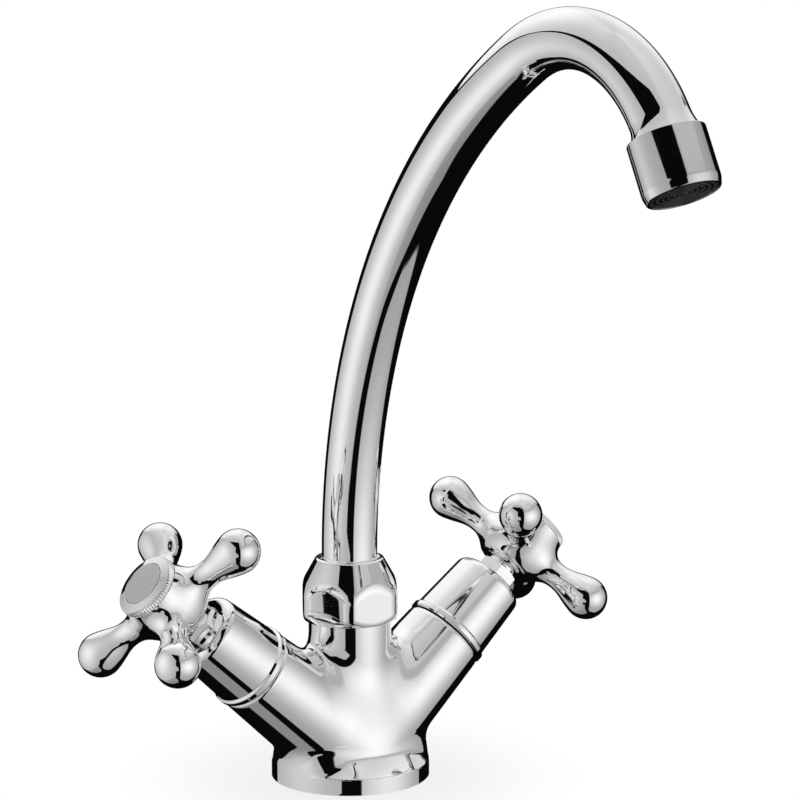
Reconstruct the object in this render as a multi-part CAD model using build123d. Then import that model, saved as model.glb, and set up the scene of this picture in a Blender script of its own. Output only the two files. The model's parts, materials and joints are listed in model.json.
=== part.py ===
from build123d import *
import math
import os

# Two handle kitchen faucet, millimetres. +Z up, origin at the centre of the foot's flat underside.
# The two valve arms lie in the XZ plane (hot towards -X, cold towards +X); the spout points to -Y.

# ---------------------------------------------------------------- driving dimensions
RUN = 0.05                # radial running clearance of turning and sliding fits
SLIP = 0.1                # clearance of pieces that are only dropped into place

# body casting
FOOT_R = 25.75
FOOT_RIM = 5.2            # height of the foot's upright rim
SHELF_TOP = 12.5          # height where the foot's sloping shelf meets the body
SHELF_HALF = (23.7, 16.0) # half sizes of the shelf's upper outline in X and Y
ARM_ANGLE = 50.0          # of each valve arm from the vertical
ARM_CROSS_Z = 9.5         # height where the two arm axes cross
ARM_END = 49.2            # arm length along its axis, from the crossing
ARM_R = (16.8, 14.0)      # arm radius at the crossing and at its end
NECK_R = 13.4
NECK_SHOULDER = 52.0
NECK_THREAD_R = 13.1
NECK_TOP = 62.0
NECK_BLEND = 5.0          # fillet between neck and arms
NECK_BORE_R = 8.0 + RUN
NECK_BORE_FLOOR = 30.0
OUTLET_R, OUTLET_Z = 3.5, 33.0       # cross drilling from both valve chambers to the neck bore
INLET_R, INLET_DEPTH, INLET_X = 5.0, 14.0, 9.5
STUD_R, STUD_DEPTH, STUD_Y = 4.0, 12.0, 10.5
BASE_SEAL_R, BASE_SEAL_DEPTH = (20.5, 24.0), 2.0

# valve seat and chamber, heights along the arm axis
SEAT_BORE_R, SEAT_LIP_R = 4.5, 5.6
SEAT_BORE_FLOOR, CHAMBER_FLOOR, SEAT_FACE = 8.0, 22.5, 24.0
CHAMBER_R, MOUTH_THREAD_R, MOUTH_THREAD_FLOOR = 9.3, 10.5, 36.0
SEAL_R, SEAL_THICKNESS = (10.7, 12.1), 1.2

# spout
TUBE_R, TUBE_BORE_R = 9.0, 8.0
TUBE_FOOT = 66.0          # height of the tube's lower end
BEND_START = 73.0         # below this height the tube is straight and upright
BENDS = ((200.0, 26.0), (187.0, 33.3), (46.0, 93.2))  # radius and turn of the tangent arcs
FLARE_R, FLARE_LENGTH = (8.4, 10.2), 4.5   # a cone that comes out of the tube's wall near its end
SPIGOT_R, SPIGOT_BORE_R, SPIGOT_FOOT = 8.0, 6.0, 37.0
COLLAR_R, COLLAR_Z = 11.5, (63.0, TUBE_FOOT)
SLIP_RING_THICKNESS = 1.0
SPIGOT_SEALS = (42.0, 49.0)
SEAL_CORD = 0.85          # half thickness of the round seals on the spigot
NUT_FLATS, NUT_CORNER_R = 30.4, 17.1
NUT_TURN = -2.1           # a corner's direction, degrees from +X
NUT_FOOT_R, NUT_FOOT_BEVEL = 14.9, 2.4
NUT_TOP_R, NUT_TOP = 11.3, 72.6
NUT_CONE_FOOT = 61.6      # height where the top cone reaches the hexagon's corners
NUT_CAVITY_R = 12.0

# outlet, distances along the nozzle axis from the tube's lower end
SHELL_R, SHELL_LENGTH, SHELL_BORE_R = 11.45, 17.7, 10.4
SHELL_LIP_R, SHELL_LIP = 9.95, 1.1
SHELL_TAPER = (10.75, 1.9)
FITTING_THREAD_R, FITTING_THREAD, FITTING_BORE_R, FITTING_PLUG = 10.35, 7.0, 6.6, 4.0
WASHER_THICKNESS = 1.5
HOUSING_WALL = 1.0
GRILLE_THICKNESS = 1.2
GRILLE_SLOTS = (1.9, 3.5, 5.1, 6.7, 8.3)
GRILLE_SLOT_WIDTH, GRILLE_SPOKE = 0.8, 1.0
SIEVE_R = 9.2             # of the diffuser and the screens in the housing

# headwork and shroud, heights along the arm axis
NOSE_R, NOSE_FLOOR, NOSE_TOP = 8.8, 34.5, 39.0
HEX_FLATS, HEX_TOP = 21.0, 54.0
BARREL_R, BARREL_TOP = 7.5, 73.4
PLUNGER_FLATS = 11.0
THRUST_R, THRUST = 5.5, (47.0, 49.5)
SHAFT_R = 4.5
GLAND_POCKET_R, GLAND_POCKET_FLOOR = 5.5, 69.0
GLAND_FLATS, GLAND_HEX_TOP = 12.6, 79.0
GLAND_COLLAR_R, GLAND_TOP = 5.4, 80.3
GLAND_TURN = {"hot": 10.0, "cold": 24.0}
STEM_R, STEM_FROM = 4.0, 66.0
SHROUD_BEAD_R, SHROUD_FOOT = 14.35, 49.4
SHROUD_TOP = 74.2

# handle, heights along the arm axis
HANDLE_S = 88.9           # plane of the four knobs
HANDLE_FOOT, HANDLE_TOP = 80.6, 98.1
HUB_R = (6.6, 10.7)       # hub radius at its foot and under the cap
KNOB_REACH, KNOB_R, KNOB_NECK_R = 28.8, 7.2, 4.3
KNOB_TURN = {"hot": -36.2, "cold": 42.7}   # how far the crosses stand turned at rest, degrees
SPLINE_TEETH, SPLINE_R = 20, (4.0, 3.6)
SPLINE_FROM, SPLINE_TOP = 83.0, 92.8
HUB_FLOOR = 94.5
CAP_RIM_TOP, CAP_TOP, CAP_R, DISC_R = 100.4, 101.15, 10.75, 7.25
CAP_TEETH, CAP_TOOTH = 66, 0.35
PLUG_R, PLUG_FOOT = 8.4, 95.1

# ---------------------------------------------------------------- shared shapes
SIDES = ("hot", "cold")
BOTTOM = (Align.CENTER, Align.CENTER, Align.MIN)


def rod(radius, low, high):
    return Pos(0, 0, low) * Cylinder(radius, high - low, align=BOTTOM)


def ring(inner, outer, low, high):
    return rod(outer, low, high) - rod(inner, low, high)


def cone(low_radius, high_radius, low, high):
    return Pos(0, 0, low) * Cone(low_radius, high_radius, high - low, align=BOTTOM)


def hexagon(flats, low, high):
    prism = extrude(RegularPolygon(flats / 2, 6, major_radius=False), high - low)
    return Pos(0, 0, low) * prism


def toothed(teeth, outer, inner, low, high):
    """A prism with pointed teeth that reach from the inner to the outer radius."""
    corners = []
    for k in range(2 * teeth):
        angle = math.pi * k / teeth
        radius = inner if k % 2 else outer
        corners.append((radius * math.cos(angle), radius * math.sin(angle)))
    return Pos(0, 0, low) * extrude(make_face(Polyline(*corners, close=True)), high - low)


def turned(*edges):
    """A solid of revolution about Z from edges drawn as (radius, height) in the XZ plane."""
    outline = make_face([Plane.XZ * edge for edge in edges])
    return revolve(outline, Axis.Z)


def lathe(*points):
    """A solid of revolution about Z from a closed outline of (radius, height) corners."""
    return turned(Polyline(*points, close=True))


def seal_ring(centre_radius, height):
    return Pos(0, 0, height) * Torus(centre_radius, SEAL_CORD)


def arm_frame(side):
    """Local frame of a valve: +Z out along the arm's axis, +X along the faucet's +Y."""
    tilt = math.radians(ARM_ANGLE)
    out = -1 if side == "hot" else 1
    axis = (out * math.sin(tilt), 0, math.cos(tilt))
    return Plane(origin=(0, 0, ARM_CROSS_Z), x_dir=(0, 1, 0), z_dir=axis).location


# ---------------------------------------------------------------- body
def valve_hollow():
    seat_bore = rod(SEAT_BORE_R, SEAT_BORE_FLOOR, CHAMBER_FLOOR + 2)
    chamber = rod(CHAMBER_R, CHAMBER_FLOOR, MOUTH_THREAD_FLOOR + 1)
    lip = ring(SEAT_BORE_R, SEAT_LIP_R, CHAMBER_FLOOR, SEAT_FACE - RUN)
    mouth = rod(MOUTH_THREAD_R, MOUTH_THREAD_FLOOR, ARM_END + 1)
    seal_step = rod(SEAL_R[1] + SLIP, ARM_END - SEAL_THICKNESS, ARM_END + 1)
    return seat_bore + (chamber - lip) + mouth + seal_step


def shelf():
    """The foot's sloping shelf: from the round rim to an oblong outline under the arms."""
    half_x, half_y = SHELF_HALF
    middle = (FOOT_RIM + SHELF_TOP) / 2
    outlines = [
        Pos(0, 0, FOOT_RIM) * Circle(FOOT_R),
        Pos(0, 0, middle) * Ellipse((FOOT_R + half_x) / 2 - 0.4, (FOOT_R + half_y) / 2 - 1.0),
        Pos(0, 0, SHELF_TOP) * Ellipse(half_x, half_y),
    ]
    return loft(outlines)


def trunk():
    """Neck and arms, with the seams between the neck and the arms rounded."""
    neck = rod(NECK_R, ARM_CROSS_Z + 6, NECK_SHOULDER)
    arms = [arm_frame(side) * cone(*ARM_R, 0, ARM_END) for side in SIDES]
    knot = Pos(0, 0, ARM_CROSS_Z) * Sphere(ARM_R[0])
    solid = neck + arms + knot
    seams = []
    for edge in solid.edges():
        span = edge.bounding_box()
        beside_neck = max(-span.min.X, span.max.X) < NECK_R + 1
        if beside_neck and span.min.Z > ARM_CROSS_Z + 10 and span.max.Z < NECK_SHOULDER - 1:
            seams.append(edge)
    above_deck = Box(200, 200, 200, align=BOTTOM)
    return fillet(seams, NECK_BLEND) & above_deck


def faucet_body():
    foot = rod(FOOT_R, 0, FOOT_RIM) + shelf()
    body = trunk() + foot + rod(NECK_THREAD_R, NECK_SHOULDER, NECK_TOP)
    for side in SIDES:
        body -= arm_frame(side) * valve_hollow()
    body -= rod(NECK_BORE_R, NECK_BORE_FLOOR, NECK_TOP)
    body -= Pos(0, 0, OUTLET_Z) * Rot(0, 90, 0) * Cylinder(OUTLET_R, 28)
    for out in (-1, 1):
        inlet = rod(INLET_R, 0, INLET_DEPTH) + rod(INLET_R - 1, INLET_DEPTH, INLET_DEPTH + 3)
        body -= Pos(out * INLET_X, 0, 0) * inlet
    body -= Pos(0, STUD_Y, 0) * rod(STUD_R, 0, STUD_DEPTH)
    body -= ring(*BASE_SEAL_R, 0, BASE_SEAL_DEPTH)
    return body


def base_seal():
    inner, outer = BASE_SEAL_R
    return ring(inner + SLIP, outer - SLIP, 0, BASE_SEAL_DEPTH - SLIP)


# ---------------------------------------------------------------- spout and its joint
def spout_nut():
    shoulder = TUBE_FOOT + SLIP_RING_THICKNESS
    foot = NECK_SHOULDER + 0.2
    corners = lathe(
        (0, foot), (NUT_FOOT_R, foot), (NUT_CORNER_R, foot + NUT_FOOT_BEVEL), (NUT_CORNER_R, NUT_CONE_FOOT),
        (NUT_TOP_R, NUT_TOP - 0.6), (NUT_TOP_R - 0.6, NUT_TOP), (0, NUT_TOP),
    )
    outside = corners & Rot(0, 0, NUT_TURN) * hexagon(NUT_FLATS, foot, NUT_TOP)
    thread = rod(NECK_THREAD_R + RUN, NECK_SHOULDER, NECK_TOP + 0.5)
    cavity = rod(NUT_CAVITY_R, NECK_TOP, shoulder + SLIP)
    return outside - thread - cavity - rod(TUBE_R + RUN, shoulder, NUT_TOP + 1)


def slip_ring_lower():
    return ring(NECK_BORE_R + 0.3, COLLAR_R, NECK_TOP, NECK_TOP + SLIP_RING_THICKNESS)


def slip_ring_upper():
    return ring(TUBE_R + SLIP, COLLAR_R, TUBE_FOOT + RUN, TUBE_FOOT + SLIP_RING_THICKNESS)


def spout_path():
    """The tube's centre line: upright, then arcs that bend forward, up and over."""
    along, height, heading = 0.0, BEND_START, 0.0
    runs = [Line((0, 0, TUBE_FOOT), (0, 0, BEND_START))]
    for radius, turn in BENDS:
        points = []
        for share in (0, 0.5, 1):
            angle = heading + math.radians(turn) * share
            out = along + radius * (math.cos(heading) - math.cos(angle))
            up = height + radius * (math.sin(angle) - math.sin(heading))
            points.append((0, -out, up))
        runs.append(ThreePointArc(*points))
        along, height = -points[2][1], points[2][2]
        heading += math.radians(turn)
    return Wire(runs), (0, -along, height), (0, -math.sin(heading), math.cos(heading))


TUBE_LINE, TUBE_END, TUBE_HEADING = spout_path()


def nozzle_frame():
    """Local frame of the outlet: origin at the tube's end, +Z along the outflow."""
    return Plane(origin=TUBE_END, x_dir=(1, 0, 0), z_dir=TUBE_HEADING).location


def spout_tube():
    start = Pos(0, 0, TUBE_FOOT)
    wall = sweep(start * Circle(TUBE_R), path=TUBE_LINE)
    flare = nozzle_frame() * cone(*FLARE_R, -FLARE_LENGTH, 0)
    bore = sweep(start * Circle(TUBE_BORE_R), path=TUBE_LINE)
    return wall + flare - bore


def spout_spigot():
    stem = rod(SPIGOT_R, SPIGOT_FOOT, COLLAR_Z[0]) + rod(COLLAR_R, *COLLAR_Z)
    sleeve = rod(TUBE_BORE_R - 0.02, COLLAR_Z[1], BEND_START)
    spigot = stem + sleeve - rod(SPIGOT_BORE_R, SPIGOT_FOOT, BEND_START)
    for height in SPIGOT_SEALS:
        groove = ring(SPIGOT_R - 2 * SEAL_CORD - 0.02, SPIGOT_R + 1, height - 1.1, height + 1.1)
        spigot -= groove
    return spigot


def nozzle_fitting():
    plug = rod(TUBE_BORE_R - 0.3, -FITTING_PLUG, 0)
    thread = rod(FITTING_THREAD_R, 0, FITTING_THREAD)
    return nozzle_frame() * (plug + thread - rod(FITTING_BORE_R, -FITTING_PLUG, FITTING_THREAD))


def aerator_shell():
    taper_r, taper = SHELL_TAPER
    outside = lathe(
        (0, 0), (SHELL_R - 0.25, 0), (SHELL_R, 0.25), (SHELL_R, SHELL_LENGTH - taper),
        (taper_r, SHELL_LENGTH), (0, SHELL_LENGTH),
    )
    bore = rod(SHELL_BORE_R, 0, SHELL_LENGTH - SHELL_LIP)
    mouth = rod(SHELL_LIP_R, 0, SHELL_LENGTH)
    return nozzle_frame() * (outside - bore - mouth)


def aerator_washer():
    top = FITTING_THREAD
    return nozzle_frame() * ring(FITTING_BORE_R, SHELL_BORE_R - SLIP, top, top + WASHER_THICKNESS)


def aerator_housing():
    """Plastic cup with a grille of ring slots, broken by four spokes, at its lower end."""
    outer = SHELL_BORE_R - SLIP
    top = FITTING_THREAD + WASHER_THICKNESS
    foot = SHELL_LENGTH - SHELL_LIP
    cup = rod(outer, top, foot) - rod(outer - HOUSING_WALL, top, foot - GRILLE_THICKNESS)
    spokes = Box(2 * outer, GRILLE_SPOKE, foot) + Box(GRILLE_SPOKE, 2 * outer, foot)
    for radius in GRILLE_SLOTS:
        slot = ring(radius - GRILLE_SLOT_WIDTH / 2, radius + GRILLE_SLOT_WIDTH / 2, top, foot)
        cup -= slot - Pos(0, 0, foot) * spokes
    return nozzle_frame() * cup


def pierced_disc(radius, low, thickness, rows, pitch, hole):
    """A thin disc with one centre hole and rings of 6, 12, 18... holes round it."""
    spots = [(0.0, 0.0)]
    for row in range(1, rows + 1):
        for k in range(6 * row):
            angle = 2 * math.pi * k / (6 * row)
            spots.append((row * pitch * math.cos(angle), row * pitch * math.sin(angle)))
    holes = [Pos(x, y) * Circle(hole) for x, y in spots]
    return Pos(0, 0, low) * extrude(Circle(radius) - holes, thickness)


def aerator_diffuser():
    top = FITTING_THREAD + WASHER_THICKNESS + 1.0
    return nozzle_frame() * pierced_disc(SIEVE_R, top, 1.0, 3, 2.2, 0.5)


def aerator_screens():
    top = FITTING_THREAD + WASHER_THICKNESS + 3.0
    screens = [pierced_disc(SIEVE_R, top + gap, 0.3, 4, 1.75, 0.55) for gap in (0.0, 1.2)]
    return nozzle_frame() * Compound(children=screens)


# ---------------------------------------------------------------- valve, about its own axis
def headwork():
    shell = rod(NOSE_R, NOSE_FLOOR, NOSE_TOP) + rod(MOUTH_THREAD_R - RUN, NOSE_TOP, ARM_END)
    shell += hexagon(HEX_FLATS, ARM_END, HEX_TOP) + rod(BARREL_R, HEX_TOP, BARREL_TOP)
    guide = hexagon(PLUNGER_FLATS + 2 * RUN, NOSE_FLOOR, THRUST[0])
    thrust = rod(THRUST_R + RUN, THRUST[0] - 0.1, THRUST[1] + RUN)
    shaft = rod(SHAFT_R + RUN, THRUST[0], GLAND_POCKET_FLOOR)
    pocket = rod(GLAND_POCKET_R + RUN, GLAND_POCKET_FLOOR, BARREL_TOP)
    return shell - guide - thrust - shaft - pocket


def headwork_seal():
    return ring(*SEAL_R, ARM_END - SEAL_THICKNESS + 0.01, ARM_END)


def packing_ring():
    return ring(STEM_R + RUN, GLAND_POCKET_R, GLAND_POCKET_FLOOR + 1.2, GLAND_POCKET_FLOOR + 3.5)


def gland_nut(side):
    plug = rod(GLAND_POCKET_R, GLAND_POCKET_FLOOR + 3.6, BARREL_TOP)
    head = Rot(0, 0, GLAND_TURN[side]) * hexagon(GLAND_FLATS, BARREL_TOP, GLAND_HEX_TOP)
    top = GLAND_HEX_TOP
    bevel_r = GLAND_FLATS / 2 - 0.2
    corner_cut = lathe((0, BARREL_TOP), (7.4, BARREL_TOP), (7.4, top - 0.8), (bevel_r, top), (0, top))
    collar = rod(GLAND_COLLAR_R, top, GLAND_TOP)
    return plug + (head & corner_cut) + collar - rod(STEM_R + RUN, GLAND_POCKET_FLOOR, GLAND_TOP)


def shroud():
    foot = SHROUD_FOOT
    outside = turned(
        Polyline((0, foot), (13.9, foot), (SHROUD_BEAD_R, foot + 0.5), (SHROUD_BEAD_R, foot + 2.0),
                 (13.6, foot + 2.7), (12.35, SHROUD_TOP - 3.4)),
        ThreePointArc((12.35, SHROUD_TOP - 3.4), (11.5, SHROUD_TOP - 1.1), (9.2, SHROUD_TOP)),
        Polyline((9.2, SHROUD_TOP), (0, SHROUD_TOP - 0.6), (0, foot)),
    )
    cavity = lathe((0, foot), (12.4, foot), (12.4, HEX_TOP + 1), (11.0, 70.3), (0, 70.3))
    return outside - cavity - rod(BARREL_R + RUN, foot, SHROUD_TOP)


def spindle():
    thread = rod(3.5, 36.0, THRUST[0])
    shaft = rod(THRUST_R, *THRUST) + rod(SHAFT_R, THRUST[1], STEM_FROM) + rod(STEM_R, STEM_FROM, SPLINE_FROM)
    spline = toothed(SPLINE_TEETH, *SPLINE_R, SPLINE_FROM, SPLINE_TOP)
    stem = thread + shaft + spline - rod(1.6, SPLINE_TOP - 10, SPLINE_TOP)
    for height in (55.0, 60.0):
        stem -= ring(3.1, 6, height - 0.9, height + 0.9)
    clip_groove = ring(3.5, 6, GLAND_POCKET_FLOOR + 0.1, GLAND_POCKET_FLOOR + 1.0)
    return stem - clip_groove


def spindle_seals():
    return Compound(children=[Pos(0, 0, h) * Torus(3.82, 0.68) for h in (55.0, 60.0)])


def spindle_circlip():
    low = GLAND_POCKET_FLOOR + 0.15
    return ring(3.55, 5.2, low, low + 0.8) - Pos(4.4, 0, low) * Box(2.4, 1.6, 4)


def plunger():
    flange = rod(7.0, 25.8, 29.0) - rod(6.25, 25.8, 27.0)
    stem = hexagon(PLUNGER_FLATS, 29.0, 41.0) - rod(3.5 + RUN, 30.6, 41.0)
    return flange + stem - rod(1.95, 26.0, 31.0)


def seat_washer():
    return ring(1.95, 6.2, SEAT_FACE, 27.0)


def washer_screw():
    head = rod(3.2, SEAT_FACE - 2.1, SEAT_FACE) + rod(1.9, SEAT_FACE, 29.6)
    return head - Pos(0, 0, SEAT_FACE - 2.1) * Box(8, 0.8, 1.6)


# ---------------------------------------------------------------- handle, about the valve's axis
def knob_arm():
    """One arm of the cross, turned about its own length: a slim neck that swells into a ball."""
    touch = math.radians(78)
    join = (KNOB_REACH - KNOB_R * math.cos(touch), KNOB_R * math.sin(touch))
    flank = Spline(
        (0, 6.8), (9.0, 5.65), (16.8, KNOB_NECK_R), (21.0, 5.1), (24.5, 6.32), join,
        tangents=[(1, 0), (math.sin(touch), math.cos(touch))],
    )
    ball = ThreePointArc(join, (KNOB_REACH, KNOB_R), (KNOB_REACH + KNOB_R, 0))
    outline = make_face([flank, ball, Line((KNOB_REACH + KNOB_R, 0), (0, 0)), Line((0, 0), (0, 6.8))])
    return revolve(outline, Axis.X)


def handle(side):
    foot_r, top_r = HUB_R
    belly = Spline((foot_r, HANDLE_FOOT), (9.0, 81.5), (10.4, 84.0), (11.0, 88.0), (top_r, HANDLE_TOP))
    hub = turned(
        belly,
        Polyline((top_r, HANDLE_TOP), (0, HANDLE_TOP), (0, HANDLE_FOOT), (foot_r, HANDLE_FOOT)),
    )
    cross = hub
    for k in range(4):
        cross += Rot(0, 0, KNOB_TURN[side] + 90 * k) * Pos(0, 0, HANDLE_S) * knob_arm()
    bore = toothed(SPLINE_TEETH, SPLINE_R[0] + RUN, SPLINE_R[1] + RUN, SPLINE_FROM - 0.3, SPLINE_TOP + SLIP)
    lead_in = rod(SPLINE_R[0] + 0.2, HANDLE_FOOT, SPLINE_FROM)
    recess = rod(PLUG_R + RUN, PLUG_FOOT - 0.1, HANDLE_TOP)
    pocket = rod(4.6, HUB_FLOOR, HANDLE_TOP)
    return cross - bore - lead_in - recess - pocket - rod(1.9, SPLINE_TOP, HUB_FLOOR)


def handle_screw():
    head = rod(3.6, HUB_FLOOR, HUB_FLOOR + 2.1) + rod(1.55, SPLINE_TOP - 9, HUB_FLOOR)
    return head - hexagon(3.0, HUB_FLOOR + 0.8, HUB_FLOOR + 2.1)


def index_cap():
    rim = toothed(CAP_TEETH, CAP_R, CAP_R - CAP_TOOTH, HANDLE_TOP, CAP_RIM_TOP)
    dome = cone(CAP_R - CAP_TOOTH - 0.1, DISC_R + 0.2, CAP_RIM_TOP, CAP_TOP)
    cap = rim + dome + rod(PLUG_R, PLUG_FOOT, HANDLE_TOP)
    return cap - rod(DISC_R + RUN, CAP_TOP - 0.7, CAP_TOP) - rod(6.6, PLUG_FOOT, CAP_RIM_TOP - 1.2)


def index_disc():
    return rod(DISC_R, CAP_TOP - 0.7, CAP_TOP)


# ---------------------------------------------------------------- every piece under its node name
def pieces():
    parts = {
        "faucet_body": faucet_body(),
        "base_seal": base_seal(),
        "spout_nut": spout_nut(),
        "slip_ring_lower": slip_ring_lower(),
        "slip_ring_upper": slip_ring_upper(),
        "spout_tube": spout_tube(),
        "spout_spigot": spout_spigot(),
        "nozzle_fitting": nozzle_fitting(),
        "aerator_shell": aerator_shell(),
        "aerator_washer": aerator_washer(),
        "aerator_housing": aerator_housing(),
        "aerator_diffuser": aerator_diffuser(),
        "aerator_screens": aerator_screens(),
    }
    for name, height in zip(("spigot_seal_lower", "spigot_seal_upper"), SPIGOT_SEALS):
        parts[name] = seal_ring(SPIGOT_R - SEAL_CORD, height)
    for side in SIDES:
        valve = {
            "headwork": headwork(),
            "headwork_seal": headwork_seal(),
            "packing_ring": packing_ring(),
            "gland_nut": gland_nut(side),
            "shroud": shroud(),
            "spindle": spindle(),
            "spindle_seals": spindle_seals(),
            "spindle_circlip": spindle_circlip(),
            "plunger": plunger(),
            "seat_washer": seat_washer(),
            "washer_screw": washer_screw(),
            "handle": handle(side),
            "handle_screw": handle_screw(),
            "index_cap": index_cap(),
            "index_disc": index_disc(),
        }
        for name, piece in valve.items():
            parts[f"{side}_{name}"] = arm_frame(side) * piece
    return parts


os.makedirs("parts", exist_ok=True)
for node, piece in pieces().items():
    export_step(piece, f"parts/{node}.step")
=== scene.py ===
import json
import math

import bpy
import numpy as np
from mathutils import Matrix


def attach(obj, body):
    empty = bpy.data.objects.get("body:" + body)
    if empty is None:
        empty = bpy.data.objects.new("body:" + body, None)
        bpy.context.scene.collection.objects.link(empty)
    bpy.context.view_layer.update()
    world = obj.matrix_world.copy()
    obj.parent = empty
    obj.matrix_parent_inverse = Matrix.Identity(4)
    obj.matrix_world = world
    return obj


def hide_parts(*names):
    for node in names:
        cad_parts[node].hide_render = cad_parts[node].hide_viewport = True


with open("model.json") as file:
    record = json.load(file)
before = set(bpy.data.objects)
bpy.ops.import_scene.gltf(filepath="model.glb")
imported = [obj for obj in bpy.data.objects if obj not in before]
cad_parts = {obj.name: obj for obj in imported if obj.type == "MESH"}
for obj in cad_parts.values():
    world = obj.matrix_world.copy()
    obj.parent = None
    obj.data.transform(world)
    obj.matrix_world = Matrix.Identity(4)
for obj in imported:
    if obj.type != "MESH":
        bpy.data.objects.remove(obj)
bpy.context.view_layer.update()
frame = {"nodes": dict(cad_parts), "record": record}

# Two handle kitchen faucet. Shapes are worked out in millimetres and put into the scene in metres.
MM = 0.001
SIDES = ("hot", "cold")

# ---------------------------------------------------------------- sizes, millimetres
ARM_ANGLE = math.radians(50)                # from upright
CROSS_Z = 9.5                               # height where the two arm axes cross
ARM_END = 49.2
ARM_R = (16.8, 14.0)                        # at the crossing and at the arm's end
FOOT_R, FOOT_RIM = 25.75, 5.2
SHELF_TOP, SHELF_HALF = 13.1, (21.8, 16.0)
SKIRT_TOP, SKIRT_Z = 14, 6.8                # SKIRT_HALF holds at the height SKIRT_Z
SKIRT_HALF, SKIRT_TAPER = (29.2, 20.2), (0.3, 0.4)
OVERHANG_Z = 6.5                            # above it the body may stand out past the rim
NECK_R, NECK_FOOT, NECK_TOP = 13.4, 5, 52.0
TUBE_R, TUBE_BORE, TUBE_FOOT = 9.0, 8.0, 66.0
BEND_START = 73.0
# each arc of the tube: radius, degrees, and rings for each millimetre
BENDS = ((200.0, 26.0, 1), (187.0, 33.3, 1), (46.0, 93.2, 2.5))
FLARE, FLARE_LENGTH, FLARE_POWER = 1.2, 5.0, 1.8
NUT_FLATS, NUT_CORNER_R, NUT_TURN = 30.4, 16.75, -2.1
NUT_FOOT, NUT_TOP = 52.2, 72.6
HANDLE_S, HANDLE_FOOT, HANDLE_TOP = 88.9, 80.6, 98.1    # along the arm from the crossing
KNOB_REACH, KNOB_R = 28.8, 7.2
KNOB_TURN = {"hot": -36.2, "cold": 42.7}

# widths of the fillets between shapes, and of the roundings at edges
ARM_EDGE, NUT_FACE_EDGE, NUT_EDGE, HUB_EDGE = 1.5, 0.3, 0.5, 1.5
CROTCH_FILLET, NECK_FILLET, SHELF_FILLET, RIM_FILLET = 7.0, 9.0, 0.6, 2.0
KNOB_FILLET, HUB_FILLET = 3.0, 5.0
LATHE_EDGE = 0.08                           # where a lathe's corner names none

# grid steps of the meshes that are made from distance fields
BODY_STEP, NUT_STEP, HANDLE_STEP = 0.55, 0.4, 0.45


# ---------------------------------------------------------------- frames
def local_frame(out, side, origin):
    """A frame with +Z along out and +X along side."""
    matrix = np.eye(4)
    matrix[:3, 0], matrix[:3, 1], matrix[:3, 2] = side, np.cross(out, side), out
    matrix[:3, 3] = origin
    return matrix


def arm_matrix(side):
    """The frame of a valve: +Z out along the arm, +X along the faucet's +Y."""
    sign = -1 if side == "hot" else 1
    out = (sign * math.sin(ARM_ANGLE), 0.0, math.cos(ARM_ANGLE))
    return local_frame(out, (0.0, 1.0, 0.0), (0, 0, CROSS_Z))


def turned(matrix, degrees):
    """The frame, turned about its own Z."""
    angle = math.radians(degrees)
    turn = np.eye(4)
    turn[0, 0], turn[0, 1] = math.cos(angle), -math.sin(angle)
    turn[1, 0], turn[1, 1] = math.sin(angle), math.cos(angle)
    return matrix @ turn


def spout_line():
    """Points and headings of the tube's centre line: upright, then three tangent arcs."""
    points, headings = [], []
    for height in np.linspace(TUBE_FOOT, BEND_START, 6)[:-1]:
        points.append((0.0, height))
        headings.append(0.0)
    along, height, heading = 0.0, BEND_START, 0.0
    for radius, degrees, density in BENDS:
        turn = math.radians(degrees)
        steps = int(radius * turn * density)
        for share in np.arange(steps) / steps:
            angle = heading + turn * share
            points.append((along + radius * (math.cos(heading) - math.cos(angle)),
                           height + radius * (math.sin(angle) - math.sin(heading))))
            headings.append(angle)
        along += radius * (math.cos(heading) - math.cos(heading + turn))
        height += radius * (math.sin(heading + turn) - math.sin(heading))
        heading += turn
    points.append((along, height))
    headings.append(heading)
    return np.array(points), np.array(headings)


LINE, HEADINGS = spout_line()


def nozzle_matrix():
    """The frame of the outlet: origin at the tube's end, +Z along the outflow."""
    heading = HEADINGS[-1]
    out = (0.0, -math.sin(heading), math.cos(heading))
    return local_frame(out, (1.0, 0.0, 0.0), (0, -LINE[-1][0], LINE[-1][1]))


# ---------------------------------------------------------------- solids from distance fields
def radius_of(p):
    return np.hypot(p[..., 0], p[..., 1])


def soft_min(a, b, width):
    """The smaller of two distances, with a fillet about width wide where they meet."""
    near = np.maximum(width - np.abs(a - b), 0) / width
    return np.minimum(a, b) - near * near * width * 0.25


def soft_max(a, b, width):
    return -soft_min(-a, -b, width)


def arm_field(p, side):
    """A tapered arm with a round inner end."""
    q = (p - np.array([0, 0, CROSS_Z])) @ arm_matrix(side)[:3, :3]
    along, radius = q[..., 2], radius_of(q)
    shrink = (ARM_R[0] - ARM_R[1]) / ARM_END
    cone = (radius - ARM_R[0] + shrink * along) / math.hypot(1, shrink)
    skin = np.where(along < 0, np.hypot(radius, along) - ARM_R[0], cone)
    return soft_max(skin, along - ARM_END, ARM_EDGE)


def oval_field(p, half_x, half_y):
    """An upright oval column. The distance is measured towards the axis."""
    share = np.maximum(np.hypot(p[..., 0] / half_x, p[..., 1] / half_y), 1e-6)
    return (share - 1) * radius_of(p) / share


def shelf_field(p, under_arm):
    """Round at the rim and oblong under the arms, with a slightly hollow slope between."""
    rise = np.clip((p[..., 2] - FOOT_RIM) / (SHELF_TOP - FOOT_RIM), 0, 1) ** 0.85
    slope = oval_field(p, *(FOOT_R + (half - FOOT_R) * rise for half in SHELF_HALF))
    skin = soft_max(0.75 * slope, radius_of(p) - FOOT_R, 0.6 + 4 * under_arm)
    return np.maximum(skin, p[..., 2] - SHELF_TOP)


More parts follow.
